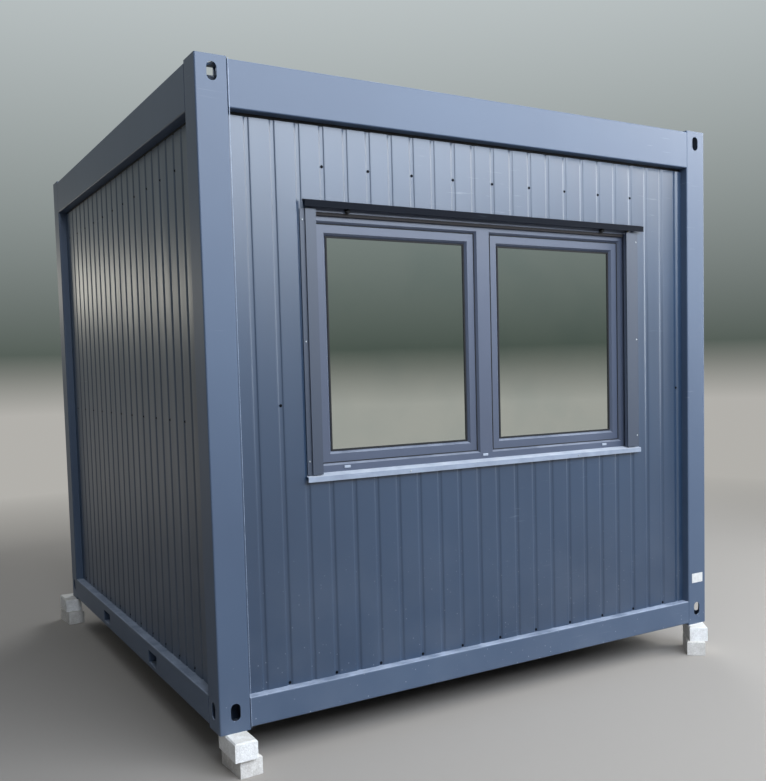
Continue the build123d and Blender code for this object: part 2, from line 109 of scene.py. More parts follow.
def mixColour(tree, factor, first, second):
    node = addNode(tree, "ShaderNodeMix", data_type="RGBA")
    for socket, value in ((0, factor), (6, first), (7, second)):  # 6 and 7 are the node's two colours
        plug(tree, value, node.inputs[socket])
    return node.outputs[2]


def ownPoint(tree):  # the point in the piece's own coordinates, in metres
    return addNode(tree, "ShaderNodeTexCoord").outputs["Object"]


def stretched(tree, where, scale, turned=(0.0, 0.0, 0.0)):
    node = addNode(tree, "ShaderNodeMapping")
    for key, value in (("Vector", where), ("Scale", scale), ("Rotation", turned)):
        plug(tree, value, node.inputs[key])
    return node.outputs["Vector"]


def cloudNoise(tree, where, scale, detail=2.0, grain=0.5):
    node = addNode(tree, "ShaderNodeTexNoise")
    for key, value in (("Vector", where), ("Scale", scale), ("Detail", detail), ("Roughness", grain)):
        plug(tree, value, node.inputs[key])
    return node.outputs["Fac"]


def cellTones(tree, where, scale):  # random cells: the distance from their middles, and the tones of each
    cells = addNode(tree, "ShaderNodeTexVoronoi")
    plug(tree, where, cells.inputs["Vector"])
    plug(tree, scale, cells.inputs["Scale"])
    tones = addNode(tree, "ShaderNodeSeparateColor")
    plug(tree, cells.outputs["Color"], tones.inputs["Color"])
    return cells.outputs["Distance"], tones.outputs


def addBump(tree, shader, height, strength, reach):
    bump = addNode(tree, "ShaderNodeBump")
    for key, value in (("Height", height), ("Strength", strength), ("Distance", reach)):
        plug(tree, value, bump.inputs[key])
    plug(tree, bump.outputs["Normal"], shader.inputs["Normal"])


def shades(red, green, blue):  # a colour written as eight-bit screen values
    linear = []
    for value in (red, green, blue):
        share = value / 255.0
        linear.append(share / 12.92 if share <= 0.04045 else ((share + 0.055) / 1.055) ** 2.4)
    return (*linear, 1.0)


# Shared effects, used by the materials below. First, slow changes of tone over a painted surface
driftShape = {"detail": 4.0, "low": 0.3, "high": 0.7}


def buildToneDrift():
    group, start, end = newGroup("tone drift", "Mask", Scale=1.5, Strength=0.2)
    cloud = cloudNoise(group, ownPoint(group), start.outputs["Scale"], driftShape["detail"])
    spread = ramp(group, cloud, driftShape["low"], driftShape["high"])
    plug(group, mathNode(group, "MULTIPLY", spread, start.outputs["Strength"]), end.inputs["Mask"])
    return group


# Dust that lies where a surface faces up, which on the painted steel is also a painted sheen: the pale blue of
# the sky's reflection on the ledges
dustAndSheenShape = {
    "flatFrom": 0.45,
    "flatTo": 0.9,
    "detail": 6.0,
    "grain": 0.65,
    "patchLow": 0.35,
    "patchHigh": 0.62,
    "thinnest": 0.35,
}


def buildUpFacingDustAndSheen():
    group, start, end = newGroup("up-facing dust and sheen", "Mask", Amount=0.6, Scale=9.0)
    split = addNode(group, "ShaderNodeSeparateXYZ")
    plug(group, addNode(group, "ShaderNodeNewGeometry").outputs["Normal"], split.inputs["Vector"])
    facing = ramp(group, split.outputs["Z"], dustAndSheenShape["flatFrom"], dustAndSheenShape["flatTo"])
    cloud = cloudNoise(group, ownPoint(group), start.outputs["Scale"], dustAndSheenShape["detail"], dustAndSheenShape["grain"])
    patchy = ramp(group, cloud, dustAndSheenShape["patchLow"], dustAndSheenShape["patchHigh"], dustAndSheenShape["thinnest"])
    soiled = mathNode(group, "MULTIPLY", facing, patchy)
    plug(group, mathNode(group, "MULTIPLY", soiled, start.outputs["Amount"], clamp=True), end.inputs["Mask"])
    return group


# Specks and haze thrown up from the ground, thinning out with height
mudShape = {
    "fullBelow": 0.1,
    "speckScale": 55.0,
    "chosenFrom": 0.86,
    "chosenTo": 0.88,
    "speckCore": 0.10,
    "speckEdge": 0.20,
    "hazeScale": 3.5,
    "hazeDetail": 7.0,
    "hazeLow": 0.4,
    "hazeHigh": 0.7,
}


def buildMudSplash():
    group, start, end = newGroup("mud splash", "Mask", Reach=0.7, Specks=0.5, Haze=0.2)
    where = ownPoint(group)
    split = addNode(group, "ShaderNodeSeparateXYZ")
    plug(group, where, split.inputs["Vector"])
    nearGround = ramp(group, split.outputs["Z"], start.outputs["Reach"], mudShape["fullBelow"])
    distance, tones = cellTones(group, where, mudShape["speckScale"])
    chosen = ramp(group, tones["Red"], mudShape["chosenFrom"], mudShape["chosenTo"])
    dot = ramp(group, distance, mudShape["speckCore"], mudShape["speckEdge"], 1.0, 0.0)
    speck = mathNode(group, "MULTIPLY", mathNode(group, "MULTIPLY", chosen, dot), start.outputs["Specks"])
    cloud = cloudNoise(group, where, mudShape["hazeScale"], mudShape["hazeDetail"])
    patches = ramp(group, cloud, mudShape["hazeLow"], mudShape["hazeHigh"])
    haze = mathNode(group, "MULTIPLY", patches, start.outputs["Haze"])
    total = mathNode(group, "ADD", speck, haze)
    plug(group, mathNode(group, "MULTIPLY", total, nearGround, clamp=True), end.inputs["Mask"])
    return group


# Fine slanting scratches, in patches
scuffShape = {
    "turned": (0.3, 0.9, 0.5),
    "stretch": (1.0, 1.0, 14.0),
    "detail": 5.0,
    "lineLow": 0.66,
    "lineHigh": 0.72,
    "patchScale": 1.7,
    "patchLow": 0.55,
    "patchHigh": 0.68,
}


def buildScuffs():
    group, start, end = newGroup("scuffs", "Mask", Scale=5.0, Amount=0.5)
    where = ownPoint(group)
    slanting = stretched(group, where, scuffShape["stretch"], scuffShape["turned"])
    lines = cloudNoise(group, slanting, start.outputs["Scale"], scuffShape["detail"])
    fine = ramp(group, lines, scuffShape["lineLow"], scuffShape["lineHigh"])
    cloud = cloudNoise(group, where, scuffShape["patchScale"])
    patches = ramp(group, cloud, scuffShape["patchLow"], scuffShape["patchHigh"])
    both = mathNode(group, "MULTIPLY", fine, patches)
    plug(group, mathNode(group, "MULTIPLY", both, start.outputs["Amount"], clamp=True), end.inputs["Mask"])
    return group


# The grain of sprayed paint, and the slow waves of a rolled sheet, which run straight up and down
sprayShape = {"peelHeight": 0.02, "waveStretch": (1.0, 1.0, 0.12), "waveScale": 6.0, "waveDetail": 1.0}


def buildSprayTexture():
    group, start, end = newGroup("spray texture", "Height", Scale=160.0, Waves=0.4)
    where = ownPoint(group)
    peel = cloudNoise(group, where, start.outputs["Scale"])
    upright = stretched(group, where, sprayShape["waveStretch"])
    wave = cloudNoise(group, upright, sprayShape["waveScale"], sprayShape["waveDetail"])
    swell = mathNode(group, "MULTIPLY", wave, start.outputs["Waves"])
    fine = mathNode(group, "MULTIPLY", peel, sprayShape["peelHeight"])
    plug(group, mathNode(group, "ADD", swell, fine), end.inputs["Height"])
    return group


toneDrift = buildToneDrift()
upFacingDustAndSheen = buildUpFacingDustAndSheen()
mudSplash = buildMudSplash()
scuffs = buildScuffs()
sprayTexture = buildSprayTexture()
print("shared effects built")


def newMaterial(name):
    material = bpy.data.materials.new(name)
    material.use_nodes = True
    tree = material.node_tree
    tree.nodes.clear()
    shader = addNode(tree, "ShaderNodeBsdfPrincipled")
    output = addNode(tree, "ShaderNodeOutputMaterial")
    plug(tree, shader.outputs["BSDF"], output.inputs["Surface"])
    return material, tree, shader


def paintedSteel(name, spec):
    material, tree, shader = newMaterial(name)
    drift = useGroup(tree, toneDrift, Scale=spec["driftScale"], Strength=spec["drift"])
    colour = mixColour(tree, drift, spec["colour"], spec["secondColour"])
    if spec["scuffs"]:
        marks = useGroup(tree, scuffs, Scale=spec["scuffScale"], Amount=spec["scuffs"])
        colour = mixColour(tree, marks, colour, spec["scuffColour"])
    soil = []
    if spec["mudSpecks"] or spec["mudHaze"]:
        thrown = {"Reach": spec["mudReach"], "Specks": spec["mudSpecks"], "Haze": spec["mudHaze"]}
        splash = useGroup(tree, mudSplash, **thrown)
        colour = mixColour(tree, splash, colour, spec["mudColour"])
        soil.append(splash)
    # up-facing faces take the dust colour: real dust, and on the paints also a painted sheen of the sky
    if spec["dust"]:
        dust = useGroup(tree, upFacingDustAndSheen, Amount=spec["dust"], Scale=spec["dustScale"])
        colour = mixColour(tree, dust, colour, spec["dustAndSheenColour"])
        soil.append(dust)
    plug(tree, colour, shader.inputs["Base Color"])
    roughness = spec["roughness"]
    if soil:  # clean paint has one roughness all over
        worst = mathNode(tree, "MAXIMUM", soil[0], soil[-1])
        roughness = ramp(tree, worst, 0.0, 1.0, roughness, spec["soiledRoughness"])
    plug(tree, roughness, shader.inputs["Roughness"])
    texture = useGroup(tree, sprayTexture, Scale=spec["peelScale"], Waves=spec["waves"])
    addBump(tree, shader, texture, spec["bump"], spec["bumpReach"])
    shader.inputs["IOR"].default_value = spec["gloss"]
    return material


framePaint = {
    "colour": shades(64, 81, 104),
    "secondColour": shades(57, 73, 96),
    "driftScale": 1.3,
    "drift": 0.8,
    "scuffs": 0.35,
    "scuffScale": 6.0,
    "scuffColour": shades(120, 130, 142),
    "mudReach": 0.5,
    "mudSpecks": 0.6,
    "mudHaze": 0.06,
    "mudColour": shades(172, 178, 188),
    "dust": 0.75,
    "dustScale": 9.0,
    # pale blue dust on the ledges: real dust, and a painted sheen of the sky's reflection
    "dustAndSheenColour": shades(160, 170, 188),
    "roughness": 0.48,
    "soiledRoughness": 0.85,
    "peelScale": 170.0,
    "waves": 0.35,
    "bump": 0.35,
    "bumpReach": 0.01,
    "gloss": 1.61,
}
claddingPaint = dict(
    framePaint,
    colour=shades(29, 53, 79),
    secondColour=shades(25, 47, 71),
    scuffs=0.3,
    mudReach=1.0,
    mudSpecks=0.45,
    roughness=0.38,
    waves=2.2,
    gloss=1.8,
)
trimPaint = dict(
    framePaint,
    colour=shades(50, 60, 76),
    secondColour=shades(45, 54, 70),
    dust=0.2,
    roughness=0.45,
)
# Near black for the drip flashing: a darker copy of the paint, painted shade on its downward-tilted face
shadedFlashingPaint = dict(
    framePaint,
    colour=shades(22, 25, 32),
    secondColour=shades(18, 21, 27),
    scuffs=0.1,
    mudSpecks=0.0,
    mudHaze=0.0,
    dust=0.0,
    roughness=0.6,
    gloss=1.12,
)
windowPlastic = dict(
    framePaint,
    colour=shades(72, 80, 98),
    secondColour=shades(66, 74, 91),
    scuffs=0.0,
    mudSpecks=0.0,
    mudHaze=0.0,
    dust=0.5,
    dustAndSheenColour=shades(150, 156, 168),
    roughness=0.36,
    waves=0.05,
    peelScale=320.0,
)
sillMetal = dict(
    framePaint,
    colour=shades(140, 150, 166),
    secondColour=shades(118, 128, 144),
    driftScale=14.0,
    scuffs=0.6,
    scuffColour=shades(176, 184, 196),
    dust=0.8,
    dustAndSheenColour=shades(168, 172, 180),
    roughness=0.4,
)
screwPaint = dict(shadedFlashingPaint, colour=shades(16, 18, 23), secondColour=shades(12, 14, 18))
# The slats' own brownish grey, darkened further as painted shade for the shadow under the flashing
shadedShutterSlats = dict(shadedFlashingPaint, colour=shades(52, 49, 49), secondColour=shades(44, 42, 42), gloss=1.25)


def galvanised(name, spec):
    material, tree, shader = newMaterial(name)
    tones = cellTones(tree, ownPoint(tree), spec["spangleScale"])[1]
    dust = useGroup(tree, upFacingDustAndSheen, Amount=spec["dust"], Scale=spec["dustScale"])
    colour = mixColour(tree, tones["Red"], spec["colour"], spec["secondColour"])
    plug(tree, mixColour(tree, dust, colour, spec["dustAndSheenColour"]), shader.inputs["Base Color"])
    clean = ramp(tree, tones["Green"], 0.0, 1.0, spec["brightRoughness"], spec["dullRoughness"])
    plug(tree, ramp(tree, dust, 0.0, 1.0, clean, spec["dustyRoughness"]), shader.inputs["Roughness"])
    plug(tree, ramp(tree, dust, 0.0, spec["metalGoneAt"], spec["metal"], 0.0), shader.inputs["Metallic"])
    return material


zincSheet = {
    "colour": shades(150, 155, 160),
    "secondColour": shades(172, 176, 180),
    "spangleScale": 40.0,
    "brightRoughness": 0.42,
    "dullRoughness": 0.6,
    "metal": 0.7,
    "dust": 0.9,
    "dustScale": 6.0,
    "dustAndSheenColour": shades(124, 121, 114),
    "dustyRoughness": 0.9,
    "metalGoneAt": 0.8,
}


def mottled(name, spec):
    material, tree, shader = newMaterial(name)
    cloud = cloudNoise(tree, ownPoint(tree), spec["scale"], spec["detail"], spec["grain"])
    mask = ramp(tree, cloud, spec["low"], spec["high"])
    plug(tree, mixColour(tree, mask, spec["colour"], spec["secondColour"]), shader.inputs["Base Color"])
    sheen = ramp(tree, mask, 0.0, 1.0, spec["roughness"], spec["roughness"] + spec["duller"])
    plug(tree, sheen, shader.inputs["Roughness"])
    addBump(tree, shader, cloud, spec["bump"], spec["bumpReach"])
    return material


liningBoard = {
    "colour": shades(206, 206, 202),
    "secondColour": shades(196, 197, 194),
    "scale": 30.0,
    "detail": 8.0,
    "grain": 0.7,
    "low": 0.35,
    "high": 0.65,
    "roughness": 0.5,
    "duller": 0.1,
    "bump": 0.1,
    "bumpReach": 0.004,
}
floorVinyl = dict(
    liningBoard,
    colour=shades(96, 98, 102),
    secondColour=shades(84, 86, 90),
    scale=60.0,
    roughness=0.45,
)
coreWool = dict(
    liningBoard,
    colour=shades(196, 178, 120),
    secondColour=shades(160, 142, 92),
    scale=45.0,
    bump=0.8,
)
sealRubber = dict(
    liningBoard,
    colour=shades(12, 13, 15),
    secondColour=shades(20, 21, 23),
    scale=80.0,
    roughness=0.8,
)
capPlastic = dict(
    liningBoard,
    colour=shades(164, 172, 184),
    secondColour=shades(146, 154, 166),
    scale=90.0,
    roughness=0.35,
)
labelFoil = dict(
    liningBoard,
    colour=shades(206, 206, 204),
    secondColour=shades(186, 186, 184),
    scale=60.0,
    roughness=0.45,
)
# Sealer bead in pale blue: its own colour, and a painted highlight of the post's rounded edge
sealerAndHighlight = dict(
    liningBoard,
    colour=shades(178, 190, 208),
    secondColour=shades(146, 158, 178),
    scale=50.0,
    roughness=0.4,
)


def concreteFinish(name, spec):
    material, tree, shader = newMaterial(name)
    where = ownPoint(tree)
    tones = cellTones(tree, where, spec["grainScale"])[1]
    cloud = cloudNoise(tree, where, spec["stainScale"], spec["stainDetail"], spec["stainGrain"])
    stain = ramp(tree, cloud, spec["stainLow"], spec["stainHigh"])
    dust = useGroup(tree, upFacingDustAndSheen, Amount=spec["dust"], Scale=spec["dustScale"])
    colour = mixColour(tree, tones["Red"], spec["colour"], spec["secondColour"])
    colour = mixColour(tree, mathNode(tree, "MULTIPLY", stain, spec["staining"]), colour, spec["stainColour"])
    plug(tree, mixColour(tree, dust, colour, spec["dustAndSheenColour"]), shader.inputs["Base Color"])
    sheen = ramp(tree, cloud, spec["sheenLow"], spec["sheenHigh"], spec["smoothest"], spec["roughest"])
    plug(tree, sheen, shader.inputs["Roughness"])
    pits = cloudNoise(tree, where, spec["pitScale"], spec["pitDetail"])
    addBump(tree, shader, pits, spec["bump"], spec["bumpReach"])
    return material


blockConcrete = {
    "colour": shades(229, 229, 227),
    "secondColour": shades(243, 243, 242),
    "grainScale": 160.0,
    "staining": 0.45,
    "stainColour": shades(172, 167, 161),
    "stainScale": 16.0,
    "stainDetail": 8.0,
    "stainGrain": 0.7,
    "stainLow": 0.4,
    "stainHigh": 0.68,
    "sheenLow": 0.3,
    "sheenHigh": 0.7,
    "smoothest": 0.82,
    "roughest": 0.95,
    "dust": 0.6,
    "dustScale": 12.0,
    "dustAndSheenColour": shades(190, 182, 168),
    "pitScale": 140.0,
    "pitDetail": 4.0,
    "bump": 0.6,
    "bumpReach": 0.004,
}
# The lower course: darker than the upper, and with more stain
lowerConcrete = dict(
    blockConcrete,
    colour=shades(208, 205, 200),
    secondColour=shades(226, 224, 220),
    staining=0.6,
)


def windowGlass(name, spec):
    material, tree, shader = newMaterial(name)
    where = ownPoint(tree)
    smear = cloudNoise(tree, where, spec["filmScale"], spec["filmDetail"])
    film = ramp(tree, smear, spec["filmLow"], spec["filmHigh"])
    plug(tree, mixColour(tree, film, spec["colour"], spec["filmColour"]), shader.inputs["Base Color"])
    plug(tree, ramp(tree, film, 0.0, 1.0, 0.0, spec["filmRoughness"]), shader.inputs["Roughness"])
    addBump(tree, shader, cloudNoise(tree, where, spec["waveScale"]), spec["bump"], spec["bumpReach"])
    shader.inputs["IOR"].default_value = spec["refraction"]
    shader.inputs["Metallic"].default_value = spec["mirror"]
    shader.inputs["Transmission Weight"].default_value = 1.0
    return material


paneGlass = {
    "colour": shades(232, 238, 234),
    "filmColour": shades(222, 231, 228),
    "filmScale": 3.0,
    "filmDetail": 6.0,
    "filmLow": 0.45,
    "filmHigh": 0.75,
    "filmRoughness": 0.03,
    "waveScale": 1.2,
    "bump": 0.05,
    "bumpReach": 0.01,
    "refraction": 1.5,
    "mirror": 0.92,
}

# One for each slot of the record, and six more: flashing (painted shade), screws, sealer (painted highlight),
# caps, label and the darker lower blocks
finishes = {
    "frame_paint": paintedSteel("frame paint", framePaint),
    "cladding_paint": paintedSteel("cladding paint", claddingPaint),
    "trim_paint": paintedSteel("trim paint", trimPaint),
    "flashing_painted_shade": paintedSteel("flashing painted shade", shadedFlashingPaint),
    "window_plastic": paintedSteel("window profile", windowPlastic),
    "sill_metal": paintedSteel("sill metal", sillMetal),
    "screw_paint": paintedSteel("screw paint", screwPaint),
    "shutter_slats": paintedSteel("shutter slats with painted shade", shadedShutterSlats),
    "zinc_sheet": galvanised("galvanised sheet", zincSheet),
    "lining_board": mottled("lining board", liningBoard),
    "floor_vinyl": mottled("floor vinyl", floorVinyl),
    "core_wool": mottled("core wool", coreWool),
    "seal_rubber": mottled("seal rubber", sealRubber),
    "sealer_and_painted_highlight": mottled("sealer and painted highlight", sealerAndHighlight),
    "cap_plastic": mottled("cap plastic", capPlastic),
    "label_foil": mottled("label foil", labelFoil),
    "pane_glass": windowGlass("pane glass", paneGlass),
    "concrete": concreteFinish("block concrete", blockConcrete),
    "darker_lower_concrete": concreteFinish("darker lower concrete", lowerConcrete),
}

for entry in frame["record"]["subparts"]:
    part = nodes[entry["node"]]
    part.data.materials.clear()
    finish = "flashing_painted_shade" if entry["node"] == "drip_flashing" else entry["material_slot"]
    part.data.materials.append(finishes[finish])
print("finishes on every CAD node")


# Mesh helpers
def meshPiece(name, build, finish):
    mesh = bpy.data.meshes.new(name)
    work = bmesh.new()
    build(work)
    bmesh.ops.recalc_face_normals(work, faces=work.faces)
    work.to_mesh(mesh)
    work.free()
    piece = bpy.data.objects.new(name, mesh)
    bpy.context.collection.objects.link(piece)
    mesh.materials.append(finishes[finish])
    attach(piece, "root")
    return piece


def addBlock(work, low, high, bevel, segments):  # a block between two corners, with its edges rounded
    size = [high[i] - low[i] for i in range(3)]
    middle = [(high[i] + low[i]) / 2 for i in range(3)]
    verts = bmesh.ops.create_cube(work, size=1.0)["verts"]
    for vert in verts:
        vert.co = Vector([vert.co[i] * size[i] + middle[i] for i in range(3)])
    edges = list(dict.fromkeys(edge for vert in verts for edge in vert.link_edges))
    bmesh.ops.bevel(work, geom=edges, offset=bevel, segments=segments, affect="EDGES", profile=0.5)


def joinRings(work, rings):  # a skin of four-sided faces from each ring of points to the next
    for lower, upper in zip(rings, rings[1:]):
        for step in range(len(lower)):
            following = (step + 1) % len(lower)
            work.faces.new((lower[step], lower[following], upper[following], upper[step]))


def addTurned(work, base, axis, profile, sides):  # the profile is a list of (radius, height along the axis)
    axis = Vector(axis).normalized()
    across = axis.orthogonal().normalized()
    other = axis.cross(across)
    rings = []
    for radius, height in profile:
        ring = []
        for step in range(sides):
            angle = 2 * math.pi * step / sides
            offset = across * math.cos(angle) * radius + other * math.sin(angle) * radius
            ring.append(work.verts.new(Vector(base) + axis * height + offset))
        rings.append(ring)
    joinRings(work, rings)
    work.faces.new(rings[-1])


def millimetres(node):  # the low and high corner of a node's box as (x, depth, z) from the datum
    return [[(corner[i] - datum[i]) * perMetre for i in range(3)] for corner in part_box(node)]


walls = ("front", "left", "back", "right")


def wallLength(side):
    return frameWidth if side in ("front", "back") else frameDepth


def wallPoint(side, along, depth, z):  # along a wall as its grooves are counted, and into the building
    if side == "front":
        return place(along, depth, z), (0, -1, 0)
    if side == "back":
        return place(frameWidth - along, frameDepth - depth, z), (0, 1, 0)
    if side == "left":
        return place(depth, along, z), (-1, 0, 0)
    return place(frameWidth - depth, along, z), (1, 0, 0)


# The ribbed sheets with their folds rolled to a radius, in place of the sharp solids
claddingSheet = {
    "postSize": (nearHigh[0] - nearLow[0]) * perMetre,
    "face": 45.0,
    "thickness": 1.5,
    "grooveDepth": 5.0,
    "grooveMouth": 26.0,
    "grooveFloor": 14.0,
    "grooveFirst": 228.0,
    "groovePitch": 115.0,
    "foldReach": 8.0,
    "foldShare": 0.45,
    "foldSteps": 6,
    "cutOverFrame": 32.0,
}


def grooveMiddles(length):
    first, pitch = claddingSheet["grooveFirst"], claddingSheet["groovePitch"]
    room = length - claddingSheet["postSize"] - claddingSheet["grooveMouth"] / 2 - first
    return [first + pitch * number for number in range(math.floor(room / pitch) + 1)]


def sheetLine(length):  # the sheet's face from post to post as (along, depth), each fold a short curve
    face, depth = claddingSheet["face"], claddingSheet["grooveDepth"]
    mouth, bed = claddingSheet["grooveMouth"] / 2, claddingSheet["grooveFloor"] / 2
    corners = [Vector((claddingSheet["postSize"], face))]
    for middle in grooveMiddles(length):
        for offset, sink in ((-mouth, 0.0), (-bed, depth), (bed, depth), (mouth, 0.0)):
            corners.append(Vector((middle + offset, face + sink)))
    corners.append(Vector((length - claddingSheet["postSize"], face)))
    line = [corners[0]]
    for before, corner, after in zip(corners, corners[1:], corners[2:]):
        start, end = [
            corner + run.normalized() * min(claddingSheet["foldReach"], run.length * claddingSheet["foldShare"])
            for run in (before - corner, after - corner)
        ]
        for step in range(claddingSheet["foldSteps"] + 1):
            share = step / claddingSheet["foldSteps"]
            line.append(start * (1 - share) ** 2 + corner * 2 * share * (1 - share) + end * share ** 2)
    return line + [corners[-1]]


def cutLine(line, stops):  # the same line with a point added at each stop along the wall
    points = list(line)
    for stop in stops:
        for number, (first, second) in enumerate(zip(points, points[1:])):
            if first.x < stop < second.x:
                points.insert(number + 1, first.lerp(second, (stop - first.x) / (second.x - first.x)))
                break
    return points


def buildSheet(work, side, hole):
    low, high = millimetres("cladding_" + side)
    levels = [low[2], high[2]]
    line = sheetLine(wallLength(side))
    if hole:
        levels = [low[2], hole["low"], hole["high"], high[2]]
        line = cutLine(line, (hole["left"], hole["right"]))
    columns = []
    for number, point in enumerate(line):
        run = line[min(number + 1, len(line) - 1)] - line[max(number - 1, 0)]
        inner = point + Vector((-run.y, run.x)).normalized() * claddingSheet["thickness"]
        column = []
        for spot in (point, inner):
            column.append([work.verts.new(wallPoint(side, spot.x, spot.y, level)[0]) for level in levels])
        columns.append(column)

    def isSheet(across, row):
        if not (0 <= across < len(line) - 1 and 0 <= row < len(levels) - 1):
            return False
        middle = (line[across].x + line[across + 1].x) / 2
        return not (hole and row == 1 and hole["left"] < middle < hole["right"])

    # Both skins of each patch, and a rim wherever the sheet ends
    for across in range(len(line) - 1):
        for row in range(len(levels) - 1):
            if not isSheet(across, row):
                continue
            for skin in (0, 1):
                here, following = columns[across][skin], columns[across + 1][skin]
                work.faces.new((here[row], following[row], following[row + 1], here[row + 1]))
            for beside, edge in ((across - 1, across), (across + 1, across + 1)):
                if not isSheet(beside, row):
                    outer, inner = columns[edge]
                    work.faces.new((outer[row], outer[row + 1], inner[row + 1], inner[row]))
            for over, level in ((row - 1, row), (row + 1, row + 1)):
                if not isSheet(across, over):
                    outer, inner = columns[across]
                    outerNext, innerNext = columns[across + 1]
                    work.faces.new((outer[level], outerNext[level], innerNext[level], inner[level]))


frameLow, frameHigh = millimetres("window_frame")
windowHole = {
    "left": frameLow[0],
    "right": frameHigh[0],
    "low": frameLow[2],
    "high": frameHigh[2] + claddingSheet["cutOverFrame"],
}
for side in walls:
    sheetHole = windowHole if side == "front" else None
    sheetPiece = meshPiece(
        "rolled_cladding_" + side,
        lambda work: buildSheet(work, side, sheetHole),
        "cladding_paint",
    )
    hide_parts("cladding_" + side)
print("ribbed sheets rolled")

# Sheet screws in the grooves of the cladding: a washer, then a hexagon head with its own small crown
claddingScrews = {
    "topRow": 2407.0,
    "topGrooves": slice(3, 21, 2),
    "bottomRow": 149.0,
    "bottomGrooves": slice(1, None, 2),
    "middleRow": 1370.0,
    "middleGrooves": (1, -1),
    "sideRows": (160.0, 1300.0, 2420.0),
    "sideGrooves": slice(0, None, 2),
    "washer": [(0.0068, 0.0), (0.0068, 0.0010), (0.0058, 0.0016), (0.0042, 0.0017)],
    "washerSides": 12,
    "head": [(0.0042, 0.0015), (0.0042, 0.0052), (0.0034, 0.0060)],
    "headSides": 6,
}


def screwPlaces(side, spec):
    grooves = grooveMiddles(wallLength(side))
    if side != "front":
        return [(along, row) for row in spec["sideRows"] for along in grooves[spec["sideGrooves"]]]
    places = [(along, spec["topRow"]) for along in grooves[spec["topGrooves"]]]
    places += [(along, spec["bottomRow"]) for along in grooves[spec["bottomGrooves"]]]
    return places + [(grooves[number], spec["middleRow"]) for number in spec["middleGrooves"]]


def buildScrews(work, side, spec):
    bed = claddingSheet["face"] + claddingSheet["grooveDepth"]
    for along, height in screwPlaces(side, spec):
        spot, outward = wallPoint(side, along, bed, height)
        addTurned(work, spot, outward, spec["washer"], spec["washerSides"])
        addTurned(work, spot, outward, spec["head"], spec["headSides"])


for side in walls:
    screws = "cladding_screws_" + side
    meshPiece(screws, lambda work: buildScrews(work, side, claddingScrews), "screw_paint")
print("screws in the grooves")

# Rivets of the window trims and the sill
windowRivets = {
    "leftFlange": 469.5,
    "rightFlange": 2449.0,
    "flangeDepth": 43.0,
    "flangeHeights": (2171.0, 1644.0, 1118.0),
    "sillHoles": (976.0, 2009.0),
    "sillHeight": 1038.0,
    "sillDepth": 25.0,
    "dome": [(0.0045, 0.0), (0.0042, 0.0010), (0.0030, 0.0019), (0.0012, 0.0023)],
    "sides": 10,
}
outFront = (0, -1, 0)


def buildRivets(work):
    spots = []
    for along in (windowRivets["leftFlange"], windowRivets["rightFlange"]):
        spots += [(along, windowRivets["flangeDepth"], height) for height in windowRivets["flangeHeights"]]
    for along in windowRivets["sillHoles"]:
        spots.append((along, windowRivets["sillDepth"], windowRivets["sillHeight"]))
    for spot in spots:
        addTurned(work, place(*spot), outFront, windowRivets["dome"], windowRivets["sides"])


meshPiece("window_rivets", buildRivets, "zinc_sheet")

# Weep caps over the drain slots
weepCaps = {
    "along": (670.0, 1441.0, 2233.0),
    "height": 1079.0,
    "face": 76.0,
    "proud": 4.0,
    "width": 32.0,
    "tall": 12.0,
    "bevel": 0.0025,
    "segments": 3,
}


def buildWeepCaps(work):
    halfWidth, halfTall = weepCaps["width"] / 2, weepCaps["tall"] / 2
    for along in weepCaps["along"]:
        low = place(along - halfWidth, weepCaps["face"] - weepCaps["proud"], weepCaps["height"] - halfTall)
        high = place(along + halfWidth, weepCaps["face"], weepCaps["height"] + halfTall)
        addBlock(work, low, high, weepCaps["bevel"], weepCaps["segments"])


meshPiece("weep_caps", buildWeepCaps, "cap_plastic")

# Rubber stops on the shutter's end bar. The profile is in shares of the radius and the length
endBarStops = {
    "along": (694.0, 2207.0),
    "height": 2221.0,
    "face": 61.0,
    "radius": 0.011,
    "length": 0.024,
    "profile": ((1.0, 0.0), (1.0, 0.7), (0.85, 0.92), (0.5, 1.0)),
    "sides": 16,
}


def buildStops(work):
    radius, length = endBarStops["radius"], endBarStops["length"]
    profile = [(radius * wide, length * far) for wide, far in endBarStops["profile"]]
    for along in endBarStops["along"]:
        spot = place(along, endBarStops["face"], endBarStops["height"])
        addTurned(work, spot, outFront, profile, endBarStops["sides"])


meshPiece("shutter_stops", buildStops, "seal_rubber")

# Gaskets: a black ring against each pane, and one in the joint between frame and sash
gaskets = {
    "pane_gasket_": {"around": "glass_", "width": 7.5, "proud": 5.0},
    "joint_gasket_": {"around": "sash_", "width": 3.5, "proud": 3.0},
}


def buildGasket(work, node, spec):
    low, high = millimetres(node)
    outlines = []
    for inset in (0.0, spec["width"]):
        left, right = low[0] + inset, high[0] - inset
        bottom, top = low[2] + inset, high[2] - inset
        outlines.append(((left, bottom), (right, bottom), (right, top), (left, top)))
    outer, inner = outlines
    front, back = low[1] - spec["proud"], low[1]
    rings = []
    for outline, depth in ((outer, back), (outer, front), (inner, front), (inner, back)):
        rings.append([work.verts.new(place(x, depth, z)) for x, z in outline])
    joinRings(work, rings + rings[:1])


for hand in ("left", "right"):
    for name, spec in gaskets.items():
        node = spec["around"] + hand
        meshPiece(name + hand, lambda work: buildGasket(work, node, spec), "seal_rubber")
print("window fittings made")

# The bare label on the right post
barePlate = {
    "left": 2830.0,
    "right": 2916.0,
    "low": 241.0,
    "high": 295.0,
    "proud": 0.8,
    "bevel": 0.0003,
    "segments": 1,
}


def buildLabel(work):
    low = place(barePlate["left"], -barePlate["proud"], barePlate["low"])
    high = place(barePlate["right"], 0.0, barePlate["high"])
    addBlock(work, low, high, barePlate["bevel"], barePlate["segments"])


meshPiece("bare_label", buildLabel, "label_foil")

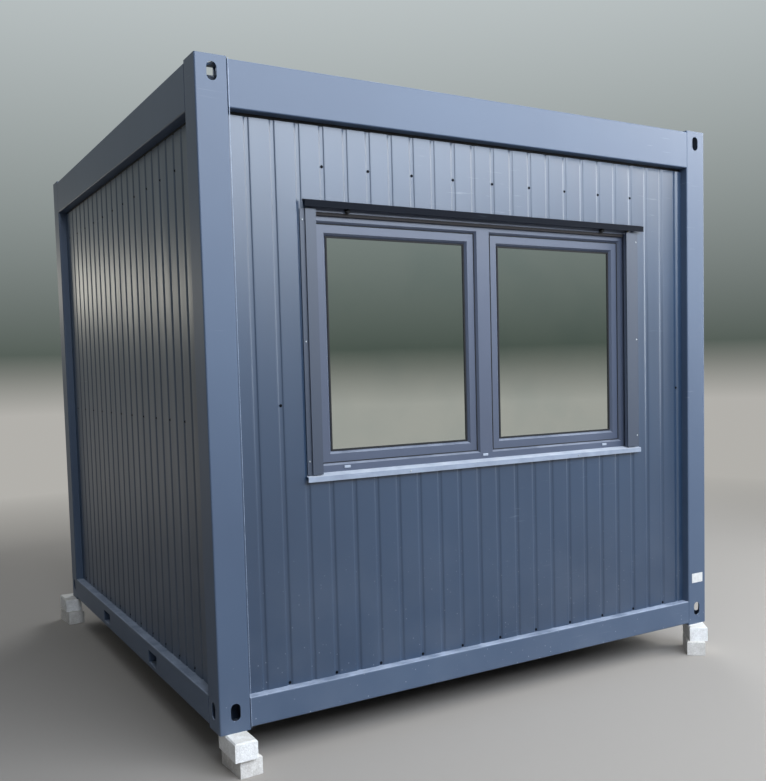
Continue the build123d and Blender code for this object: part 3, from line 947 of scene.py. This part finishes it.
# The pale bead down the inner edge of the near post, thicker where the roof beam meets it: a sealer bead, its
# pale blue also a painted highlight of the post's rounded edge
sealerAndHighlightBead = {
    "along": 141.2,
    "low": 6.0,
    "high": 2796.0,
    "beamFrom": 2560.0,
    "thick": 1.7,
    "thin": 0.9,
    "leastSwell": 0.8,
    "swell": 0.5,
    "swellLength": 40.0,
    "drift": 0.5,
    "driftLength": 90.0,
    "driftSeed": 3.0,
    "step": 18.0,
    "sides": 6,
}


def buildBead(work):
    rings = []
    length = sealerAndHighlightBead["high"] - sealerAndHighlightBead["low"]
    count = round(length / sealerAndHighlightBead["step"])
    for number in range(count + 1):
        z = sealerAndHighlightBead["low"] + length * number / count
        swell = noise.noise(Vector((0.0, 0.0, z / sealerAndHighlightBead["swellLength"])))
        size = sealerAndHighlightBead["thick"] if z > sealerAndHighlightBead["beamFrom"] else sealerAndHighlightBead["thin"]
        size *= sealerAndHighlightBead["leastSwell"] + sealerAndHighlightBead["swell"] * swell
        drift = noise.noise(Vector((sealerAndHighlightBead["driftSeed"], 0.0, z / sealerAndHighlightBead["driftLength"])))
        middle = sealerAndHighlightBead["along"] + sealerAndHighlightBead["drift"] * drift
        ring = []
        for side in range(sealerAndHighlightBead["sides"]):
            angle = 2 * math.pi * side / sealerAndHighlightBead["sides"]
            ring.append(work.verts.new(place(middle + size * math.cos(angle), size * math.sin(angle), z)))
        rings.append(ring)
    joinRings(work, rings)
    work.faces.new(rings[0])
    work.faces.new(rings[-1])


meshPiece("sealer_and_highlight_bead", buildBead, "sealer_and_painted_highlight")

# Concrete blocks with worn bevels and chipped arrises, in place of the plain solids. Sizes are in metres
pierBlocks = {
    "length": 0.200,
    "width": 0.100,
    "height": 0.080,
    "bevel": 0.0065,
    "cuts": 9,
    "chips": 0.0022,
    "chipScale": 60.0,
    "chipFrom": 0.35,
    "edgeReach": 0.004,
    "edgeBite": 1.6,
    "faceBite": 0.35,
    "bedReach": 0.0005,
    "seedStep": 7.3,
}
# For each corner of the frame: how far in the block's middle lies across and deep, in millimetres, and its
# turn in degrees. The middles of a course lie below the posts by a number of block heights
pierCourses = {
    "upper": {
        "below": 0.5,
        "finish": "concrete",
        "seed": 0.0,
        "blocks": {
            "front_left": (71.0, -17.0, 90.0),
            "front_right": (67.0, 18.0, 54.0),
            "back_left": (-22.0, 31.0, 90.0),
            "back_right": (-10.0, -17.0, 90.0),
        },
    },
    "lower": {
        "below": 1.5,
        "finish": "darker_lower_concrete",
        "seed": 3.1,
        "blocks": {
            "front_left": (93.0, 5.0, 93.0),
            "front_right": (82.0, 14.0, 50.0),
            "back_left": (-21.0, 63.0, 95.0),
            "back_right": (-21.0, 63.0, 85.0),
        },
    },
}


def addWornBlock(work, middle, turn, seed):
    # Each block is cut up in a mesh of its own, then joined to its course
    half = Vector((pierBlocks["length"] / 2, pierBlocks["width"] / 2, pierBlocks["height"] / 2))
    single = bmesh.new()
    bmesh.ops.create_cube(single, size=1.0)
    for vert in single.verts:
        vert.co = Vector([vert.co[i] * half[i] * 2 for i in range(3)])
    topEdges = [edge for edge in single.edges if all(vert.co.z > 0 for vert in edge.verts)]
    bmesh.ops.bevel(single, geom=topEdges, offset=pierBlocks["bevel"], segments=1, affect="EDGES")
    bmesh.ops.subdivide_edges(single, edges=single.edges[:], cuts=pierBlocks["cuts"], use_grid_fill=True)
    turned = Matrix.Rotation(math.radians(turn), 3, "Z")
    for vert in single.verts:
        spot = vert.co.copy()
        nearFaces = sum(1 for i in range(3) if abs(spot[i]) > half[i] - pierBlocks["edgeReach"])
        rough = noise.noise(spot * pierBlocks["chipScale"] + Vector((seed, 0, 0))) * 0.5 + 0.5
        bite = pierBlocks["chips"] * max(0.0, rough - pierBlocks["chipFrom"])
        bite *= pierBlocks["edgeBite"] if nearFaces >= 2 else pierBlocks["faceBite"]
        direction = spot.normalized()
        worn = Vector((spot.x - direction.x * bite, spot.y - direction.y * bite, spot.z))
        if abs(spot.z) < half.z - pierBlocks["bedReach"]:  # the top and the underside stay flat
            worn.z = spot.z - direction.z * bite
        vert.co = turned @ worn + middle
    holder = bpy.data.meshes.new("single block")
    single.to_mesh(holder)
    single.free()
    work.from_mesh(holder)
    bpy.data.meshes.remove(holder)


def buildCourse(work, spec):
    level = -spec["below"] * pierBlocks["height"] * perMetre
    for number, (corner, (across, deep, turn)) in enumerate(spec["blocks"].items()):
        along = across if corner.endswith("left") else frameWidth - across
        depth = deep if corner.startswith("front") else frameDepth - deep
        seed = number * pierBlocks["seedStep"] + spec["seed"]
        addWornBlock(work, place(along, depth, level), turn, seed)


for course, spec in pierCourses.items():
    blocks = meshPiece(
        "worn_blocks_" + course,
        lambda work: buildCourse(work, spec),
        spec["finish"],
    )
    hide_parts("pier_blocks_" + course)
print("pier blocks roughened")

# Camera: a plain lens at the photograph's place. The picture's sizes are in pixels, the eye's place in
# millimetres from the datum
photoView = {
    "width": 766.0,
    "height": 781.0,
    "focal": 924.66,
    "centre": (421.98, 427.72),
    "eye": (-1235.3, -3669.7, 1526.5),
    "forward": (0.523534, 0.849404, -0.066520),
    "right": (0.850226, -0.525889, -0.023590),
    "sensor": 36.0,
    "farthest": 200.0,
}
lens = bpy.data.cameras.new("camera")
camera = bpy.data.objects.new("camera", lens)
bpy.context.collection.objects.link(camera)
bpy.context.scene.camera = camera
forward = Vector(photoView["forward"]).normalized()
sideways = Vector(photoView["right"]).normalized()
upward = sideways.cross(forward).normalized()
facing = Matrix((sideways, upward, -forward)).transposed().to_4x4()
camera.matrix_world = Matrix.Translation(place(*photoView["eye"])) @ facing
lens.sensor_fit = "HORIZONTAL"
lens.sensor_width = photoView["sensor"]
lens.lens = photoView["focal"] / photoView["width"] * photoView["sensor"]
lens.shift_x = -(photoView["centre"][0] - photoView["width"] / 2) / photoView["width"]
lens.shift_y = (photoView["centre"][1] - photoView["height"] / 2) / photoView["width"]
lens.clip_end = photoView["farthest"]
print("camera set")

# Floor, world and lamps
stageSpec = {
    "floorHalf": 9.0,
    "floorColour": shades(150, 144, 137),
    "floorRoughness": 0.9,
    "floorFadeFrom": 4.6,
    "floorFadeTo": 8.8,
    "ground": (0.44, 0.43, 0.405, 1.0),
    "groundTop": -0.04,
    "backdropFrom": 0.02,
    "backdropLow": (0.070, 0.090, 0.074, 1.0),
    "backdropHigh": (0.72, 0.78, 0.80, 1.0),
    "highFrom": 0.56,
    "ambient": (0.86, 0.92, 1.0, 1.0),
    "ambientStrength": 0.14,
}


def seenDirectly(tree):  # 1 where the camera, a reflection or a view through glass meets the backdrop
    path = addNode(tree, "ShaderNodeLightPath")
    seen = mathNode(tree, "MAXIMUM", path.outputs["Is Camera Ray"], path.outputs["Is Glossy Ray"])
    return mathNode(tree, "MAXIMUM", seen, path.outputs["Is Transmission Ray"])


def mixShaders(tree, factor, first, second, target):
    node = addNode(tree, "ShaderNodeMixShader")
    for socket, source in enumerate((factor, first, second)):
        plug(tree, source, node.inputs[socket])
    plug(tree, node.outputs["Shader"], target)


# The floor keeps the cabin's shadow, and melts into the plain ground colour with distance
floorMesh = bpy.data.meshes.new("floor")
half = stageSpec["floorHalf"]
floorCorners = [(x * half, y * half, 0.0) for x, y in ((-1, -1), (1, -1), (1, 1), (-1, 1))]
floorMesh.from_pydata(floorCorners, [], [(0, 1, 2, 3)])
floor = bpy.data.objects.new("floor", floorMesh)
bpy.context.collection.objects.link(floor)
floorMaterial, floorTree, floorShader = newMaterial("floor")
floorShader.inputs["Base Color"].default_value = stageSpec["floorColour"]
floorShader.inputs["Roughness"].default_value = stageSpec["floorRoughness"]
fromMiddle = addNode(floorTree, "ShaderNodeVectorMath", operation="LENGTH")
plug(floorTree, ownPoint(floorTree), fromMiddle.inputs[0])
fade = ramp(floorTree, fromMiddle.outputs["Value"], stageSpec["floorFadeFrom"], stageSpec["floorFadeTo"])
distant = addNode(floorTree, "ShaderNodeEmission")
distant.inputs["Color"].default_value = stageSpec["ground"]
mixShaders(
    floorTree,
    mathNode(floorTree, "MULTIPLY", fade, seenDirectly(floorTree)),
    floorShader.outputs["BSDF"],
    distant.outputs["Emission"],
    floorTree.nodes["Material Output"].inputs["Surface"],
)
floorMesh.materials.append(floorMaterial)

# The backdrop is seen directly or in a reflection, and the soft ambient light falls on the cabin
world = bpy.data.worlds.new("world")
bpy.context.scene.world = world
world.use_nodes = True
skyTree = world.node_tree
skyTree.nodes.clear()
skyOut = addNode(skyTree, "ShaderNodeOutputWorld")
split = addNode(skyTree, "ShaderNodeSeparateXYZ")
plug(skyTree, addNode(skyTree, "ShaderNodeTexCoord").outputs["Generated"], split.inputs["Vector"])
upwards = ramp(skyTree, split.outputs["Z"], 0.0, stageSpec["highFrom"])
backdrop = mixColour(skyTree, upwards, stageSpec["backdropLow"], stageSpec["backdropHigh"])
beyondFloor = ramp(skyTree, split.outputs["Z"], stageSpec["groundTop"], stageSpec["backdropFrom"], 1.0, 0.0)
plain = addNode(skyTree, "ShaderNodeBackground")
plug(skyTree, mixColour(skyTree, beyondFloor, backdrop, stageSpec["ground"]), plain.inputs["Color"])
soft = addNode(skyTree, "ShaderNodeBackground")
soft.inputs["Color"].default_value = stageSpec["ambient"]
soft.inputs["Strength"].default_value = stageSpec["ambientStrength"]
mixShaders(
    skyTree,
    seenDirectly(skyTree),
    soft.outputs["Background"],
    plain.outputs["Background"],
    skyOut.inputs["Surface"],
)

lamps = {
    "key": {
        "at": (6.0, -4.6, 5.0),
        "aim": (0.3, -1.0, 1.4),
        "size": (1.0, 1.0),
        "power": 150.0,
        "colour": (1.0, 0.98, 0.95),
    },
    "skyPanel": {
        "at": (1.2, -7.4, 5.2),
        "aim": (0.6, -1.5, 2.4),
        "size": (9.4, 3.6),
        "power": 900.0,
        "colour": (0.80, 0.88, 1.0),
    },
    "overhead": {
        "at": (0.0, -4.2, 8.0),
        "aim": (0.0, -2.4, 0.0),
        "size": (6.0, 4.0),
        "power": 220.0,
        "colour": (0.86, 0.93, 1.0),
    },
    "sideStrip": {
        "at": (6.3, -3.1, 3.3),
        "aim": (0.0, -1.45, 2.1),
        "size": (1.4, 4.4),
        "power": 230.0,
        "colour": (0.88, 0.94, 1.0),
    },
    "farGlow": {
        "at": (-3.3, 7.5, 2.8),
        "aim": (-1.5, 0.0, 1.9),
        "size": (1.8, 0.6),
        "power": 18.0,
        "colour": (1.0, 0.95, 0.84),
    },
    "backFill": {
        "at": (5.2, 7.0, 4.6),
        "aim": (0.3, 1.2, 1.2),
        "size": (5.0, 3.0),
        "power": 450.0,
        "colour": (0.90, 0.95, 1.0),
    },
}
for name, spec in lamps.items():
    light = bpy.data.lights.new(name, "AREA")
    light.shape = "RECTANGLE"
    light.size, light.size_y = spec["size"]
    light.energy = spec["power"]
    light.color = spec["colour"]
    lamp = bpy.data.objects.new(name, light)
    bpy.context.collection.objects.link(lamp)
    lamp.location = spec["at"]
    aim = Vector(spec["aim"]) - Vector(spec["at"])
    lamp.rotation_euler = aim.to_track_quat("-Z", "Y").to_euler()
bpy.context.scene.view_settings.view_transform = "Standard"
print("lamps and floor set")
